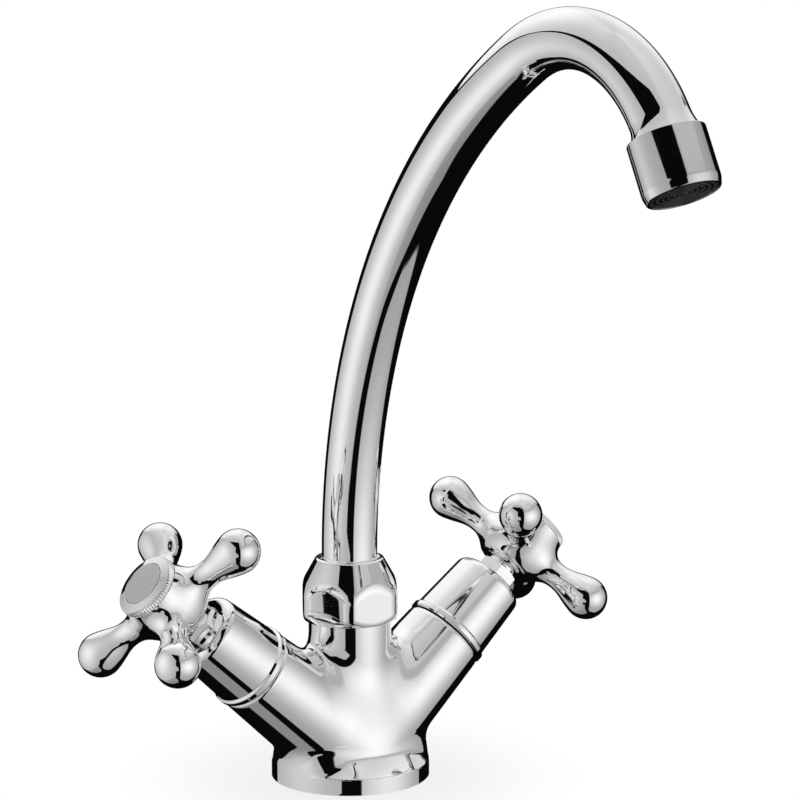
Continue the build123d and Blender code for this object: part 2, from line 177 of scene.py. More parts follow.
def skirt_field(p):
    """The arms' own way down to the foot: oval, and held inside the rim's circle."""
    drop = np.clip(p[..., 2], 0, SKIRT_TOP) - SKIRT_Z
    oval = oval_field(p, *(half - taper * drop for half, taper in zip(SKIRT_HALF, SKIRT_TAPER)))
    skin = soft_max(oval, radius_of(p) - FOOT_R, RIM_FILLET)
    return np.maximum(skin, p[..., 2] - SKIRT_TOP)


def body_field(p):
    """The casting without its hollows: two arms, the neck, and the way down to the round foot."""
    z, across = p[..., 2], radius_of(p)
    turn = np.clip((np.abs(p[..., 0]) / (across + 1e-6) - 0.87) / 0.09, 0, 1)
    under_arm = turn * turn * (3 - 2 * turn)
    arms = soft_min(arm_field(p, "hot"), arm_field(p, "cold"), CROTCH_FILLET)
    neck = np.maximum(across - NECK_R, NECK_FOOT - z)
    trunk = soft_min(arms, neck, NECK_FILLET)
    trunk = soft_min(trunk, skirt_field(p), 1 + 2 * under_arm)
    casting = soft_min(trunk, shelf_field(p, under_arm), SHELF_FILLET)
    lift = np.maximum(z - OVERHANG_Z, 0)
    return np.maximum(casting, across - FOOT_R - 0.5 * lift - 0.08 * lift * lift)


# the nut's slanted faces: radius and height of a point on each, and its normal outwards and upwards
NUT_CONE = (17.1, 61.6, 0.873, 0.487)
NUT_BEVEL = (14.9, 52.2, 0.737, -0.676)


def nut_field(p):
    """The nut on the neck: a soft edged hexagon, coned above and bevelled below."""
    z, across = p[..., 2], radius_of(p)
    flats = []
    for k in range(3):
        angle = math.radians(NUT_TURN + 30 + 60 * k)
        away = np.abs(p[..., 0] * math.cos(angle) + p[..., 1] * math.sin(angle))
        flats.append(away - NUT_FLATS / 2)
    solid = soft_max(soft_max(flats[0], flats[1], NUT_FACE_EDGE), flats[2], NUT_FACE_EDGE)
    solid = soft_max(solid, across - NUT_CORNER_R, NUT_EDGE)
    for (radius, height, out, up), width in ((NUT_CONE, 1.0), (NUT_BEVEL, 0.9)):
        solid = soft_max(solid, out * (across - radius) + up * (z - height), width)
    return soft_max(soft_max(solid, z - NUT_TOP, NUT_EDGE), NUT_FOOT - z, NUT_EDGE)


# half width of a handle's arm by its distance from the hub's axis; past KNOB_REACH there is a ball
KNOB_PROFILE = (
    (0, 6.9), (6, 6.3), (9, 5.65), (12, 4.9), (15, 4.4), (17, 4.3), (19, 4.5), (21, 5.05),
    (23, 5.76), (25, 6.42), (27, 6.96), (28.8, 7.19), (30.6, 6.96),
)
# radius of the hub by its place along the valve's axis
HUB_PROFILE = (
    (80.6, 7.0), (81.0, 8.1), (81.6, 9.05), (82.6, 9.8), (84, 10.4), (86, 10.8), (88, 11.0),
    (93, 10.95), (98.1, 10.7), (100, 10.55),
)


def smooth_table(points, count=400):
    """A natural cubic spline through points, as a table with its slopes."""
    x, y = np.array(points, float).T
    n, h = len(x), np.diff(x)
    system, right = np.eye(n), np.zeros(n)
    for i in range(1, n - 1):
        system[i, i - 1], system[i, i], system[i, i + 1] = h[i - 1], 2 * (h[i - 1] + h[i]), h[i]
        right[i] = 6 * ((y[i + 1] - y[i]) / h[i] - (y[i] - y[i - 1]) / h[i - 1])
    bend = np.linalg.solve(system, right)
    places = np.linspace(x[0], x[-1], count)
    i = np.clip(np.searchsorted(x, places, side="right") - 1, 0, n - 2)
    d, step = places - x[i], h[i]
    values = (y[i] + d * ((y[i + 1] - y[i]) / step - step * (2 * bend[i] + bend[i + 1]) / 6)
              + d ** 2 * bend[i] / 2 + d ** 3 * (bend[i + 1] - bend[i]) / (6 * step))
    return places, values, np.gradient(values, places)


KNOB_TABLE = smooth_table(KNOB_PROFILE)
HUB_TABLE = smooth_table(HUB_PROFILE)


def profile_field(along, radius, table):
    """A shape turned about an axis, with its radius along the axis from a table."""
    places, values, slopes = table
    half = np.interp(along, places, values)
    return (radius - half) / np.hypot(1, np.interp(along, places, slopes))


def knob_field(along, side, up):
    """One arm of a cross handle, with the ball at its end."""
    radius = np.hypot(side, up)
    ball = np.hypot(along - KNOB_REACH, radius) - KNOB_R + 0.01
    neck = profile_field(along, radius, KNOB_TABLE)
    return np.where(along > KNOB_REACH, ball, neck)


def handle_field(p):
    """A cross handle in its own frame: arms along X and Y, the hub's axis along Z."""
    x, y, up = np.abs(p[..., 0]), np.abs(p[..., 1]), p[..., 2] - HANDLE_S
    arms = soft_min(knob_field(x, y, up), knob_field(y, x, up), KNOB_FILLET)
    hub = profile_field(p[..., 2], np.hypot(x, y), HUB_TABLE)
    hub = soft_max(hub, HANDLE_FOOT - p[..., 2], HUB_EDGE)
    return soft_min(arms, hub, HUB_FILLET)


def slope_of(field, points, step=0.02):
    """The outward normals of a field at points."""
    moves = np.eye(3) * step
    slope = np.stack([field(points + m) - field(points - m) for m in moves], -1)
    return slope / np.maximum(np.linalg.norm(slope, axis=-1, keepdims=True), 1e-9)


def surface_net(field, low, high, step):
    """Quads round the zero surface of a field, with one point in each grid cell that it crosses."""
    axes = [np.arange(a, b + step, step) for a, b in zip(low, high)]
    grid = np.stack(np.meshgrid(*axes, indexing="ij"), -1)
    values = field(grid)
    inside = values < 0
    cells = np.array(values.shape) - 1
    total, hits = np.zeros((*cells, 3)), np.zeros(cells)
    crossings = []
    for axis in range(3):
        near = np.take(values, range(cells[axis]), axis)
        far = np.take(values, range(1, cells[axis] + 1), axis)
        cross = (near < 0) != (far < 0)
        share = np.where(cross, near / np.where(cross, near - far, 1), 0)
        crossings.append(cross)
        others = [a for a in range(3) if a != axis]
        for shift_a in (0, 1):
            for shift_b in (0, 1):
                window = [slice(None)] * 3
                window[others[0]] = slice(shift_a, shift_a + cells[others[0]])
                window[others[1]] = slice(shift_b, shift_b + cells[others[1]])
                here, part = cross[tuple(window)], share[tuple(window)]
                hits += here
                total[..., axis] += here * part
                total[..., others[0]] += here * shift_a
                total[..., others[1]] += here * shift_b
    used = hits > 0
    number = np.full(cells, -1)
    number[used] = np.arange(used.sum())
    corner = np.stack(np.nonzero(used), -1)
    points = (corner + total[used] / hits[used][:, None]) * step + np.array(low)
    quads = []
    for axis in range(3):
        a, b = (axis + 1) % 3, (axis + 2) % 3
        at = np.stack(np.nonzero(crossings[axis]), -1)
        at = at[(at[:, a] > 0) & (at[:, b] > 0) & (at[:, a] < cells[a]) & (at[:, b] < cells[b])]
        ring = []
        for shift_a, shift_b in ((1, 1), (0, 1), (0, 0), (1, 0)):
            cell = at.copy()
            cell[:, a] -= shift_a
            cell[:, b] -= shift_b
            ring.append(number[tuple(cell.T)])
        quad = np.stack(ring, -1)
        outward = inside[tuple(at.T)]
        quads.append(np.where(outward[:, None], quad, quad[:, ::-1]))
    for _ in range(4):                      # pull the points onto the surface
        away = field(points)[:, None]
        points = points - slope_of(field, points) * np.clip(away, -step / 2, step / 2)
    return points, np.concatenate(quads)


# ---------------------------------------------------------------- meshes
def mesh_piece(name, points, faces, matrix=np.eye(4), normals=None):
    """A smooth mesh object from millimetre points in a local frame, with normals if given."""
    points = np.asarray(points, float) @ matrix[:3, :3].T + matrix[:3, 3]
    mesh = bpy.data.meshes.new(name)
    mesh.from_pydata((points * MM).tolist(), [], [list(map(int, f)) for f in faces])
    mesh.update()
    mesh.shade_smooth()
    if normals is not None:
        normals = np.asarray(normals) @ matrix[:3, :3].T
        mesh.normals_split_custom_set_from_vertices(normals.tolist())
    piece = bpy.data.objects.new(name, mesh)
    bpy.context.scene.collection.objects.link(piece)
    return piece


def round_angles(segments):
    return 2 * math.pi * np.arange(segments) / segments


def ring_faces(rings, segments):
    """Quads between rings of points, with the last ring joined to the first."""
    faces = []
    for r in range(rings):
        low, high = r * segments, ((r + 1) % rings) * segments
        for j in range(segments):
            k = (j + 1) % segments
            faces.append((low + j, low + k, high + k, high + j))
    return faces


def rounded(corners, pieces):
    """A closed outline of (radius, height, fillet) corners as points and outward normals."""
    points, normals = [], []
    spots = [np.array(c[:2], float) for c in corners]
    for i, corner in enumerate(corners):
        here, before, after = spots[i], spots[i - 1], spots[(i + 1) % len(spots)]
        back, ahead = before - here, after - here
        back, ahead = back / np.linalg.norm(back), ahead / np.linalg.norm(ahead)
        start = -np.array([back[1], -back[0]])
        end = np.array([ahead[1], -ahead[0]])
        straight = abs(back[0] * ahead[1] - back[1] * ahead[0]) < 1e-6
        if here[0] < 1e-9 or straight:
            points.append(here)
            normals.append(end if here[0] >= 1e-9 else (start if before[0] > 1e-9 else end))
            continue
        fillet = corner[2] if len(corner) > 2 else LATHE_EDGE
        half = math.acos(np.clip(back @ ahead, -1, 1)) / 2
        middle = (back + ahead) / np.linalg.norm(back + ahead)
        centre = here + middle * fillet / math.sin(half)
        turn = math.atan2(start[0] * end[1] - start[1] * end[0], start @ end)
        for share in np.linspace(0, 1, pieces + 1):
            c, s = math.cos(turn * share), math.sin(turn * share)
            normal = np.array([c * start[0] - s * start[1], s * start[0] + c * start[1]])
            points.append(centre + normal * fillet * (1 if turn > 0 else -1))
            normals.append(normal)
    return np.array(points), np.array(normals)


def lathe(name, corners, matrix=np.eye(4), segments=128, pieces=5):
    """A piece turned about Z. Its corners (radius, height, fillet) go round it anticlockwise."""
    outline, slopes = rounded(corners, pieces)
    angles = round_angles(segments)
    cosine, sine = np.cos(angles), np.sin(angles)
    points, normals, rings = [], [], []
    for (radius, height), (out, up) in zip(outline, slopes):
        first = len(points)
        if radius < 1e-9:
            points.append((0, 0, height))
            normals.append((0, 0, math.copysign(1, up)))
            rings.append([first] * segments)
        else:
            points.extend(zip(radius * cosine, radius * sine, np.full(segments, height)))
            normals.extend(zip(out * cosine, out * sine, np.full(segments, up)))
            rings.append(list(range(first, first + segments)))
    faces = []
    closed = outline[0][0] >= 1e-9
    for i in range(len(rings) if closed else len(rings) - 1):
        low, high = rings[i], rings[(i + 1) % len(rings)]
        for j in range(segments):
            k = (j + 1) % segments
            face = [low[j], low[k], high[k], high[j]]
            face = [v for n, v in enumerate(face) if v not in face[:n]]
            if len(face) > 2:
                faces.append(face)
    return mesh_piece(name, points, faces, matrix, normals)


def hollow(outline, matrix=np.eye(4), segments=64):
    """A cutter turned about Z, from sharp (radius, height) corners."""
    return lathe("hollow", [(*corner, 0) for corner in outline], matrix, segments)


def carve(piece, *cutters):
    """Takes the cutters out of the piece."""
    for cutter in cutters:
        modifier = piece.modifiers.new("carve", "BOOLEAN")
        modifier.operation = "DIFFERENCE"
        modifier.solver = "MANIFOLD"
        modifier.object = cutter
        graph = bpy.context.evaluated_depsgraph_get()
        mesh = bpy.data.meshes.new_from_object(piece.evaluated_get(graph))
        piece.modifiers.clear()
        piece.data = mesh
        bpy.data.objects.remove(cutter)


CREASE, RIB_CREASE = 0.6, 0.7               # radians between faces from which an edge is sharp
SKIN = 0.02                                 # points this close to a field's surface belong to it


def polish(piece, field, matrix=np.eye(4)):
    """Shades the faces on a field's own surface by its exact slope, and the rest by their edges."""
    mesh = piece.data
    mesh.shade_smooth()
    mesh.set_sharp_from_angle(angle=CREASE)
    count, loops = len(mesh.vertices), len(mesh.loops)
    points = np.empty(count * 3)
    mesh.vertices.foreach_get("co", points)
    local = (points.reshape(-1, 3) / MM - matrix[:3, 3]) @ matrix[:3, :3]
    corner = np.empty(loops * 3)
    mesh.corner_normals.foreach_get("vector", corner)
    corner = corner.reshape(-1, 3)
    vertex = np.empty(loops, int)
    mesh.loops.foreach_get("vertex_index", vertex)
    sizes = np.empty(len(mesh.polygons), int)
    mesh.polygons.foreach_get("loop_total", sizes)
    flat = np.empty(len(mesh.polygons) * 3)
    mesh.polygons.foreach_get("normal", flat)
    flat = np.repeat(flat.reshape(-1, 3), sizes, axis=0)
    slope = slope_of(field, local) @ matrix[:3, :3].T
    on_skin = (np.abs(field(local)) < SKIN)[vertex]
    facing = (slope[vertex] * flat).sum(-1) > 0.8
    corner[on_skin & facing] = slope[vertex][on_skin & facing]
    mesh.normals_split_custom_set(corner.tolist())


def finish_piece(piece, body, slot, material, *nodes):
    """Gives a piece its material and rigid body, and hides the CAD nodes that it stands for. The
    slot is not used.
    """
    piece.data.materials.clear()
    piece.data.materials.append(material)
    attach(piece, body)
    if nodes:
        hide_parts(*nodes)


# ---------------------------------------------------------------- node graphs
class Number:
    """A value in a node graph, so that formulas can be written out as formulas."""

    def __init__(self, tree, socket):
        self.tree, self.socket = tree, socket

    def math(self, operation, *others):
        node = self.tree.nodes.new("ShaderNodeMath")
        node.operation = operation
        for place, value in zip(node.inputs, (self, *others)):
            if isinstance(value, Number):
                self.tree.links.new(value.socket, place)
            else:
                place.default_value = value
        return Number(self.tree, node.outputs[0])

    def __add__(self, other):
        return self.math("ADD", other)

    def __sub__(self, other):
        return self.math("SUBTRACT", other)

    def __mul__(self, other):
        return self.math("MULTIPLY", other)

    def bell(self, centre, width):
        """1 at the centre, falling off to both sides."""
        away = (self - centre) * (1 / width)
        return (away * away * -1).math("EXPONENT")

    def above(self, edge, soft=1.5):
        """0 below the edge and 1 above it, with a soft change between."""
        node = self.tree.nodes.new("ShaderNodeMapRange")
        node.interpolation_type = "SMOOTHSTEP"
        node.inputs["From Min"].default_value = -soft
        node.inputs["From Max"].default_value = soft
        self.tree.links.new((self - edge).socket, node.inputs["Value"])
        return Number(self.tree, node.outputs["Result"])

    def below(self, edge, soft=1.5):
        """1 below the edge and 0 above it."""
        return self.above(edge, soft) * -1 + 1

    def over(self, under, mask):
        """This value where the mask is 1, and the one under it elsewhere."""
        return self * mask + under * (mask * -1 + 1)


def new_tree(owner):
    owner.use_nodes = True
    owner.node_tree.nodes.clear()
    return owner.node_tree


def add_node(tree, kind, **settings):
    node = tree.nodes.new(kind)
    for name, value in settings.items():
        setattr(node, name, value)
    return node


def noise(tree, scale, detail=3.0, stretch=(1, 1, 1)):
    """Noise over the object's own coordinates, in metres, so it stays put on the surface."""
    place = add_node(tree, "ShaderNodeTexCoord")
    mapping = add_node(tree, "ShaderNodeMapping")
    mapping.inputs["Scale"].default_value = stretch
    texture = add_node(tree, "ShaderNodeTexNoise")
    texture.inputs["Scale"].default_value = scale
    texture.inputs["Detail"].default_value = detail
    tree.links.new(place.outputs["Object"], mapping.inputs["Vector"])
    tree.links.new(mapping.outputs["Vector"], texture.inputs["Vector"])
    return texture.outputs["Fac"]


def spread(tree, source, low, high):
    """Noise stretched to run from low to high."""
    node = add_node(tree, "ShaderNodeMapRange")
    node.inputs["From Min"].default_value = 0.3
    node.inputs["From Max"].default_value = 0.7
    node.inputs["To Min"].default_value = low
    node.inputs["To Max"].default_value = high
    tree.links.new(source, node.inputs["Value"])
    return node.outputs["Result"]


TONE_SCALE = 60.0
RELIEF_DEPTH = 0.00002                      # metres


def finish_material(name, dark, light, metallic, roughness, grain, bump, stretch=(1, 1, 1)):
    """Colour drifts between two tones, roughness between two values, and there is a fine relief."""
    material = bpy.data.materials.new(name)
    tree = new_tree(material)
    shader = add_node(tree, "ShaderNodeBsdfPrincipled")
    output = add_node(tree, "ShaderNodeOutputMaterial")
    tone = add_node(tree, "ShaderNodeMix", data_type="RGBA")
    tone.inputs[6].default_value = (*dark, 1)
    tone.inputs[7].default_value = (*light, 1)
    tree.links.new(spread(tree, noise(tree, TONE_SCALE), 0, 1), tone.inputs[0])
    tree.links.new(tone.outputs[2], shader.inputs["Base Color"])
    rough = spread(tree, noise(tree, grain, 4.0, stretch), *roughness)
    tree.links.new(rough, shader.inputs["Roughness"])
    shader.inputs["Metallic"].default_value = metallic
    relief = add_node(tree, "ShaderNodeBump")
    relief.inputs["Strength"].default_value = bump
    relief.inputs["Distance"].default_value = RELIEF_DEPTH
    tree.links.new(noise(tree, grain, 2.0, stretch), relief.inputs["Height"])
    tree.links.new(relief.outputs["Normal"], shader.inputs["Normal"])
    tree.links.new(shader.outputs["BSDF"], output.inputs["Surface"])
    return material


METAL, DIELECTRIC = 1.0, 0.0
BRUSHED = (1, 1, 6)
CHROME = finish_material(
    "chrome", (0.86, 0.865, 0.87), (0.91, 0.912, 0.915), METAL, (0.015, 0.05), 260, 0.02)
SATIN = finish_material(
    "satin_chrome", (0.71, 0.715, 0.72), (0.77, 0.772, 0.775), METAL, (0.04, 0.08), 420, 0.04)
BUTTON = finish_material(
    "button_face", (0.64, 0.643, 0.646), (0.70, 0.702, 0.705), METAL, (0.16, 0.26), 500, 0.05)
BRASS = finish_material(
    "brass", (0.60, 0.43, 0.17), (0.78, 0.60, 0.28), METAL, (0.2, 0.38), 900, 0.3, BRUSHED)
STEEL = finish_material(
    "steel", (0.34, 0.34, 0.35), (0.48, 0.48, 0.49), METAL, (0.2, 0.36), 1200, 0.3, BRUSHED)
RUBBER = finish_material(
    "rubber", (0.012, 0.012, 0.013), (0.03, 0.03, 0.031), DIELECTRIC, (0.55, 0.8), 700, 0.6)
WHITE_PLASTIC = finish_material(
    "white_plastic", (0.72, 0.72, 0.69), (0.82, 0.82, 0.8), DIELECTRIC, (0.35, 0.5), 500, 0.3)
DARK_PLASTIC = finish_material(
    "dark_plastic", (0.05, 0.05, 0.052), (0.085, 0.085, 0.088), DIELECTRIC, (0.28, 0.42), 700, 0.4)

SLOT_MATERIALS = {
    "chrome": CHROME, "index_chrome": BUTTON, "brass": BRASS, "steel": STEEL, "rubber": RUBBER,
    "white_plastic": WHITE_PLASTIC, "dark_plastic": DARK_PLASTIC,
}
for entry in frame["record"]["subparts"]:
    node_object = frame["nodes"][entry["node"]]
    node_object.data.materials.clear()
    node_object.data.materials.append(SLOT_MATERIALS[entry["material_slot"]])

# ---------------------------------------------------------------- body casting
VALVE_BORE = (
    (0, 8), (4.5, 8), (4.5, 23.95), (5.6, 23.95), (5.6, 22.5), (9.3, 22.5), (9.3, 36), (10.5, 36),
    (10.5, 48), (12.2, 48), (12.2, 56), (0, 56),
)
NECK_BORE = (
    (0, 30), (8.05, 30), (8.05, 62), (13.1, 62), (13.1, NECK_TOP), (20, NECK_TOP), (20, 66),
    (0, 66),
)
CROSS_BORE = ((0, -14), (3.5, -14), (3.5, 14), (0, 14))
INLET_BORE = ((0, -1), (5, -1), (5, 14), (4, 14), (4, 17), (0, 17))
STUD_BORE = ((0, -1), (4, -1), (4, 12), (0, 12))
BELOW_DECK = ((0, -6), (40, -6), (40, 0), (0, 0))
SEAL_GROOVE = ((20.5, -1), (24, -1), (24, 2), (20.5, 2))


def closed_body(p):
    """The casting, closed above and below where the cutters make its ends."""
    return np.maximum.reduce([body_field(p), p[..., 2] - 63.5, -2 - p[..., 2]])


def build_body():
    net = surface_net(closed_body, (-49, -28, -3.1), (49, 28, 65), BODY_STEP)
    casting = mesh_piece("body_casting", *net)
    cutters = [hollow(VALVE_BORE, arm_matrix(side), 96) for side in SIDES]
    for outline, x, y in ((INLET_BORE, -9.5, 0), (INLET_BORE, 9.5, 0), (STUD_BORE, 0, 10.5)):
        cutters.append(hollow(outline, local_frame((0, 0, 1), (1, 0, 0), (x, y, 0))))
    cutters.append(hollow(NECK_BORE, segments=96))
    cutters.append(hollow(CROSS_BORE, local_frame((1, 0, 0), (0, 0, -1), (0, 0, 33)), 48))
    cutters.append(hollow(BELOW_DECK))
    cutters.append(hollow(SEAL_GROOVE, segments=128))
    carve(casting, *cutters)
    polish(casting, body_field)
    finish_piece(casting, "faucet", "chrome", CHROME, "faucet_body")


build_body()

# ---------------------------------------------------------------- spout
NUT_THREAD = ((0, 50), (13.15, 50), (13.15, 62.6), (0, 62.6))
NUT_CAVITY = (
    (0, 62), (12, 62), (12, 67.1), (9.1, 67.1), (9.1, 71), (9.75, 71.6), (9.75, 76), (0, 76),
)


def build_nut():
    net = surface_net(nut_field, (-18, -18, 51.5), (18, 18, 73.4), NUT_STEP)
    nut = mesh_piece("neck_nut", *net)
    carve(nut, hollow(NUT_THREAD, segments=128), hollow(NUT_CAVITY, segments=128))
    polish(nut, nut_field)
    finish_piece(nut, "faucet", "chrome", CHROME, "spout_nut")


build_nut()

TUBE_SEGMENTS = 96
TUBE_BEVEL = 0.06


def build_tube():
    """The bent tube, flared at the outlet: rings along its outside and back along its inside."""
    length = np.concatenate([[0], np.cumsum(np.hypot(*np.diff(LINE, axis=0).T))])
    from_end = length[-1] - length
    flare = FLARE * np.clip(1 - from_end / FLARE_LENGTH, 0, 1) ** FLARE_POWER
    slant = np.arctan(np.gradient(flare, length))
    last = len(LINE) - 1
    # each ring: place on the line, shift along it, radius, and the normal outwards and onwards
    rings = []
    for i in range(len(LINE)):
        normal = (math.cos(slant[i]), -math.sin(slant[i]))
        rings.append((i, 0.0, TUBE_R - 0.008 + flare[i], normal))
    rings.append((last, TUBE_BEVEL, TUBE_R + FLARE - TUBE_BEVEL, (0, 1)))
    rings.append((last, TUBE_BEVEL, TUBE_BORE + TUBE_BEVEL, (0, 1)))
    for i in reversed(range(len(LINE))):
        rings.append((i, 0.0, TUBE_BORE, (-1, 0)))
    rings.append((0, -TUBE_BEVEL, TUBE_BORE + TUBE_BEVEL, (0, -1)))
    rings.append((0, -TUBE_BEVEL, TUBE_R - TUBE_BEVEL, (0, -1)))
    angles = round_angles(TUBE_SEGMENTS)
    points, normals = [], []
    for i, shift, radius, (out, onward) in rings:
        heading = HEADINGS[i]
        forward = np.array([0, -math.sin(heading), math.cos(heading)])
        side, up = np.array([1.0, 0, 0]), np.cross(forward, [1.0, 0, 0])
        centre = np.array([0, -LINE[i][0], LINE[i][1]]) + forward * shift
        round_out = np.outer(np.cos(angles), side) + np.outer(np.sin(angles), up)
        points.append(centre + radius * round_out)
        normals.append(out * round_out + onward * forward)
    faces = ring_faces(len(rings), TUBE_SEGMENTS)
    tube = mesh_piece("swan_neck", np.concatenate(points), faces, normals=np.concatenate(normals))
    finish_piece(tube, "spout", "chrome", CHROME, "spout_tube")


build_tube()

OUTLET = nozzle_matrix()
SLEEVE_SECTION = (
    (10.42, 0.0), (11.45, 0.0, 0.4), (11.45, 15.2, 4.5), (10.8, 17.7, 0.5), (9.95, 17.7, 0.12),
    (9.95, 16.6), (10.42, 16.6),
)
CUP_SECTION = (
    (9.3, 8.5), (10.25, 8.5), (10.25, 16.5), (9.85, 16.5), (9.85, 17.5, 0.3), (8.75, 17.5, 0.3),
    (8.7, 15.6), (9.3, 15.2),
)
BOSS_SECTION = ((0, 15.6), (1.5, 15.6, 0.1), (1.5, 17.6, 0.4), (0, 17.6))
RIB_RADII = ((2.3, 3.1), (3.9, 4.7), (5.5, 6.3), (7.1, 7.9))
SPOKE = [(x, y, z) for x in (0.8, 9.0) for y in (-0.4, 0.4) for z in (15.5, 16.5)]
BOX_FACES = ((0, 1, 3, 2), (4, 6, 7, 5), (0, 4, 5, 1), (2, 3, 7, 6), (0, 2, 6, 4), (1, 5, 7, 3))


def build_outlet():
    """The sleeve, and in it the insert: a cup whose end is a boss and ring ribs on four spokes."""
    sleeve = lathe("outlet_sleeve", SLEEVE_SECTION, OUTLET, 160)
    finish_piece(sleeve, "spout", "chrome", SATIN, "aerator_shell")
    insert = lathe("outlet_insert", CUP_SECTION, OUTLET, 128)
    parts = [insert, lathe("rib", BOSS_SECTION, OUTLET, 96)]
    for inner, outer in RIB_RADII:
        section = ((inner, 15.6, 0.1), (outer, 15.6, 0.1), (outer, 17.5, 0.3), (inner, 17.5, 0.3))
        parts.append(lathe("rib", section, OUTLET, 96))
    for k in range(4):
        parts.append(mesh_piece("spoke", SPOKE, BOX_FACES, turned(OUTLET, 90 * k)))
    with bpy.context.temp_override(active_object=insert, selected_editable_objects=parts):
        bpy.ops.object.join()
    finish_piece(insert, "spout", "dark_plastic", DARK_PLASTIC, "aerator_housing")


build_outlet()

# ---------------------------------------------------------------- shrouds
SHROUD_SECTION = (
    (12.4, 49.4), (13.9, 49.4, 0.2), (14.35, 49.9, 0.35), (14.35, 51.4, 0.4), (13.6, 52.1, 0.35),
    (12.2, 74.2, 2.9), (7.55, 74.2, 0.15), (7.55, 70.3), (11.0, 70.3), (12.4, 55.0),
)
for side in SIDES:
    shroud = lathe(side + "_cover", SHROUD_SECTION, arm_matrix(side), 160, 8)
    finish_piece(shroud, "faucet", "chrome", CHROME, side + "_shroud")

# ---------------------------------------------------------------- handles
# below, a bore for the spindle and its screw; above, the seat of the button's cap and a flat top
HANDLE_HOLLOW = (
    (0, 79), (4.2, 79), (4.2, 83), (4.05, 83), (4.05, 92.9), (1.9, 92.9), (1.9, 94.5), (4.6, 94.5),
    (4.6, 95.0), (8.45, 95.0), (8.45, HANDLE_TOP), (30, HANDLE_TOP), (30, 102), (0, 102),
)


def closed_handle(p):
    """A handle, closed above its flat top."""
    return np.maximum(handle_field(p), p[..., 2] - HANDLE_TOP - 1.1)


HANDLE_NET = surface_net(closed_handle, (-37, -37, 79), (37, 37, 100), HANDLE_STEP)


def build_handle(side):
    place = turned(arm_matrix(side), KNOB_TURN[side])
    cross = mesh_piece(side + "_cross", *HANDLE_NET, place)
    carve(cross, hollow(HANDLE_HOLLOW, place, 128))
    polish(cross, handle_field, place)
    finish_piece(cross, side + "_handle", "chrome", CHROME, side + "_handle")


# the knurled edge of the button's cap: radius and height of each ring, and 1 where the ribs show
KNURLS, KNURL_DEPTH = 66, 0.42
RIM_SECTION = (
    (9.4, 98.12, 0), (10.4, 98.12, 0), (10.75, 98.4, 1), (10.6, 99.9, 1), (10.2, 100.35, 1),
    (9.4, 100.4, 0),
)


def build_knurl(side):
    steps = 8 * KNURLS
    angles = round_angles(steps)
    groove = KNURL_DEPTH * np.abs(np.cos(angles * KNURLS / 2)) ** 3
    points = []
    for radius, height, ribbed in RIM_SECTION:
        reach = radius - groove * ribbed
        ring = [reach * np.cos(angles), reach * np.sin(angles), np.full(steps, height)]
        points.append(np.stack(ring, -1))
    faces = ring_faces(len(RIM_SECTION), steps)
    rim = mesh_piece(side + "_knurled_rim", np.concatenate(points), faces, arm_matrix(side))
    rim.data.set_sharp_from_angle(angle=RIB_CREASE)
    finish_piece(rim, side + "_handle", "chrome", CHROME)


CAP_SECTION = (
    (0, 95.1), (8.4, 95.1), (8.4, 98.15), (9.7, 98.15), (10.05, 100.38, 0.15), (7.45, 101.12, 0.12),
    (7.3, 100.9, 0.05), (7.3, 100.45), (0, 100.45),
)
DISC_SECTION = ((0, 100.3), (7.12, 100.3), (7.12, 101.14, 0.16), (0, 101.14))
for side in SIDES:
    build_handle(side)
    build_knurl(side)
    cap = lathe(side + "_button_cap", CAP_SECTION, arm_matrix(side), 128)
    finish_piece(cap, side + "_handle", "chrome", SATIN, side + "_index_cap")
    disc = lathe(side + "_button_face", DISC_SECTION, arm_matrix(side), 96)
    finish_piece(disc, side + "_handle", "index_chrome", BUTTON, side + "_index_disc")

# ---------------------------------------------------------------- camera
FOCAL_PX, IMAGE_PX, SENSOR = 3239.42, 800, 36.0
CAMERA_AT = (-571.81, -847.21, 309.05)
CAMERA_YAW, CAMERA_DOWN, CAMERA_ROLL = (math.radians(a) for a in (34.9375, 10.2639, -0.1047))


def build_camera():
    """The camera of the photograph, as it was solved together with the shape."""
    level, fall = math.cos(CAMERA_DOWN), math.sin(CAMERA_DOWN)
    ahead = np.array([math.sin(CAMERA_YAW) * level, math.cos(CAMERA_YAW) * level, -fall])
    right = np.array([math.cos(CAMERA_YAW), -math.sin(CAMERA_YAW), 0])
    upward = np.cross(right, ahead)
    pose = np.eye(4)
    pose[:3, 0] = math.cos(CAMERA_ROLL) * right + math.sin(CAMERA_ROLL) * upward
    pose[:3, 1] = -math.sin(CAMERA_ROLL) * right + math.cos(CAMERA_ROLL) * upward
    pose[:3, 2], pose[:3, 3] = -ahead, np.array(CAMERA_AT) * MM
    data = bpy.data.cameras.new("camera")
    data.sensor_width = SENSOR
    data.lens = FOCAL_PX / IMAGE_PX * SENSOR
    data.clip_start, data.clip_end = 0.01, 100
    camera = bpy.data.objects.new("camera", data)
    camera.matrix_world = Matrix(pose.tolist())
    bpy.context.scene.collection.objects.link(camera)
    bpy.context.scene.camera = camera


build_camera()

# ---------------------------------------------------------------- studio
TOWARDS_CAMERA = (-0.5592, -0.8290, 0)      # level direction from the faucet to the camera
TO_THE_RIGHT = (0.8290, -0.5592, 0)
WALL_LIGHT = 0.61                           # the upright panels, away from their middles
STRAY_LIGHT, CONTRAST, GAIN = 0.075, 2.2, 1.1

# the upright panel at the left: a point on it, its level direction, and (side, height) corners
LEFT_AT, LEFT_ALONG = (-227.0, 60.8), (-0.2586, -0.966)
LEFT_OUTLINE = (
    (-420, -200), (380, -200), (380, -50), (770, -125), (770, 40), (380, 140), (380, 326),
    (-60, 326), (-130, 314), (-190, 300), (-420, 283),
)
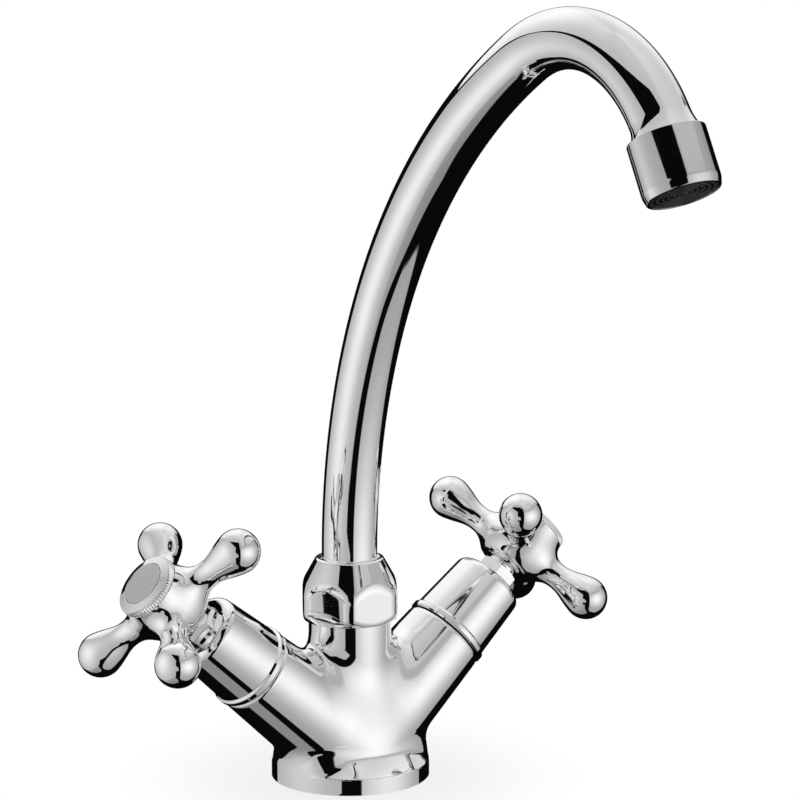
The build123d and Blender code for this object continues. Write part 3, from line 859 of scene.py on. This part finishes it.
# the panel overhead: its middle's Y and height, and corners in steps (towards the camera, right)
OVERHEAD_Y, OVERHEAD_Z, OVERHEAD_STEP = -158, 500, 300
OVERHEAD_OUTLINE = (
    (-3.72, -4.28), (-1.75, -3.6), (0.1, -1.43), (0.348, -1.01), (0.47, -0.70), (0.53, -0.46),
    (0.56, -0.27), (0.776, -0.08), (0.9, 0), (0.985, 0.17), (1.3, 0.6), (0.6, 1.5), (-1.5, 1.5),
    (-5, 0), (-5, -4.28),
)


def heading_of(tree, vector):
    """A direction as its turn round the faucet, 0 towards the camera, and its rise, in degrees."""
    def along(direction):
        node = add_node(tree, "ShaderNodeVectorMath", operation="DOT_PRODUCT")
        node.inputs[1].default_value = direction
        tree.links.new(vector, node.inputs[0])
        return Number(tree, node.outputs["Value"])

    degrees = 180 / math.pi
    turn = along(TO_THE_RIGHT).math("ARCTAN2", along(TOWARDS_CAMERA)) * degrees
    return turn, along((0, 0, 1)).math("ARCSINE") * degrees


# The next three give brightness as it shows in the picture. All angles are in degrees.
def ceiling_light(turn, rise):
    back = turn.math("ABSOLUTE").above(120, 30) * rise.below(66, 22)
    light = rise.bell(90, 40) * 0.13 + 0.60 + back * 0.24
    return light + turn.above(20, 8) * turn.below(120, 30) * 0.06 + turn.below(-75, 20) * 0.05


def left_light(turn, rise):
    return turn.bell(-80, 34) * rise.bell(-8, 32) * 0.26 + WALL_LIGHT - rise.below(-60, 18) * 0.10


def right_light(turn, rise):
    return turn.bell(56, 46) * rise.bell(0, 33) * 0.42 + WALL_LIGHT - turn.above(100, 20) * 0.03


def as_strength(light):
    return (light + STRAY_LIGHT).math("MAXIMUM", 0.0).math("POWER", CONTRAST) * GAIN


def build_world():
    """White for the camera, and for the reflections a studio with dark gaps between its lights.

    They are a panel at the right, the foot of the panel at the left, and a bright ceiling.
    """
    world = bpy.data.worlds.new("studio")
    bpy.context.scene.world = world
    tree = new_tree(world)
    place = add_node(tree, "ShaderNodeTexCoord")
    turn, rise = heading_of(tree, place.outputs["Generated"])
    left_foot = ((turn + 35) * (1 / 90)).math("ABSOLUTE").math("POWER", 6.0) * 40 - 82
    right_foot = ((turn - 50) * (1 / 66)).math("ABSOLUTE").math("POWER", 4.0) * 36 - 64
    left_edge = rise.below(-60, 10) * 17 - 10
    right_edge = rise.below(-58, 8) * 16 + 16
    left_mask = turn.above(-131) * turn.below(left_edge)
    left_mask = left_mask * (rise - left_foot).above(0) * rise.below(-23, 2)
    right_mask = turn.above(right_edge) * turn.below(127) * (rise - right_foot).above(0)
    front_left = turn.above(-131) * turn.below(13)
    ceiling_foot = front_left * 47 + 27 - turn.math("ABSOLUTE").above(132, 6) * 12
    light = left_light(turn, rise) * left_mask + right_light(turn, rise) * right_mask
    light = ceiling_light(turn, rise).over(light, rise.above(ceiling_foot, 4))

    rays = add_node(tree, "ShaderNodeLightPath")
    white = Number(tree, rays.outputs["Is Camera Ray"])
    shown = as_strength(light) * (white * -1 + 1) + white
    background = add_node(tree, "ShaderNodeBackground")
    output = add_node(tree, "ShaderNodeOutputWorld")
    tree.links.new(shown.socket, background.inputs["Strength"])
    tree.links.new(background.outputs["Background"], output.inputs["Surface"])


def build_panel(name, corners, seen_from, brightness):
    """A flat light of the studio that only the reflections show."""
    panel = mesh_piece(name, corners, [range(len(corners))])
    panel.visible_camera = panel.visible_diffuse = panel.visible_shadow = False
    material = bpy.data.materials.new(name)
    tree = new_tree(material)
    place = add_node(tree, "ShaderNodeTexCoord")
    offset = add_node(tree, "ShaderNodeVectorMath", operation="SUBTRACT")
    offset.inputs[1].default_value = [value * MM for value in seen_from]
    tree.links.new(place.outputs["Object"], offset.inputs[0])
    heading = add_node(tree, "ShaderNodeVectorMath", operation="NORMALIZE")
    tree.links.new(offset.outputs["Vector"], heading.inputs[0])
    light = add_node(tree, "ShaderNodeEmission")
    output = add_node(tree, "ShaderNodeOutputMaterial")
    turn, rise = heading_of(tree, heading.outputs["Vector"])
    tree.links.new(as_strength(brightness(turn, rise)).socket, light.inputs["Strength"])
    tree.links.new(light.outputs["Emission"], output.inputs["Surface"])
    panel.data.materials.append(material)


def build_panels():
    """The upright panel at the left, with a lower wing near the camera, and the one overhead."""
    upright = [(LEFT_AT[0] + LEFT_ALONG[0] * side, LEFT_AT[1] + LEFT_ALONG[1] * side, height)
               for side, height in LEFT_OUTLINE]
    build_panel("left_panel", upright, (0, -60, 120), left_light)
    overhead = []
    for near, right in OVERHEAD_OUTLINE:
        x, y = (near * a + right * b for a, b in zip(TOWARDS_CAMERA[:2], TO_THE_RIGHT))
        overhead.append((OVERHEAD_STEP * x, OVERHEAD_Y + OVERHEAD_STEP * y, OVERHEAD_Z))
    build_panel("overhead_panel", overhead, (0, -60, 150), ceiling_light)


FLOOR_HALF, FLOOR_Z = 6000, -0.3
FADE_FROM, FADE_SOFT = 0.05, 0.03           # metres from the faucet's axis


def build_floor():
    """A pale floor that goes over into the white background and keeps a soft shadow."""
    square = ((-1, -1), (1, -1), (1, 1), (-1, 1))
    corners = [(x * FLOOR_HALF, y * FLOOR_HALF, FLOOR_Z) for x, y in square]
    floor = mesh_piece("floor", corners, [(0, 1, 2, 3)])
    floor.visible_glossy = False
    material = bpy.data.materials.new("floor")
    tree = new_tree(material)
    place = add_node(tree, "ShaderNodeTexCoord")
    away = add_node(tree, "ShaderNodeVectorMath", operation="LENGTH")
    tree.links.new(place.outputs["Object"], away.inputs[0])
    fade = Number(tree, away.outputs["Value"]).above(FADE_FROM, FADE_SOFT) * 0.18 + 0.82
    rays = add_node(tree, "ShaderNodeLightPath")
    shown = fade * Number(tree, rays.outputs["Is Camera Ray"])
    matt = add_node(tree, "ShaderNodeBsdfDiffuse")
    matt.inputs["Color"].default_value = (0.9, 0.9, 0.9, 1)
    white = add_node(tree, "ShaderNodeEmission")
    mix = add_node(tree, "ShaderNodeMixShader")
    output = add_node(tree, "ShaderNodeOutputMaterial")
    tree.links.new(shown.socket, mix.inputs[0])
    tree.links.new(matt.outputs[0], mix.inputs[1])
    tree.links.new(white.outputs[0], mix.inputs[2])
    tree.links.new(mix.outputs[0], output.inputs["Surface"])
    floor.data.materials.append(material)


build_world()
build_panels()
build_floor()

bpy.context.scene.view_settings.view_transform = "Standard"
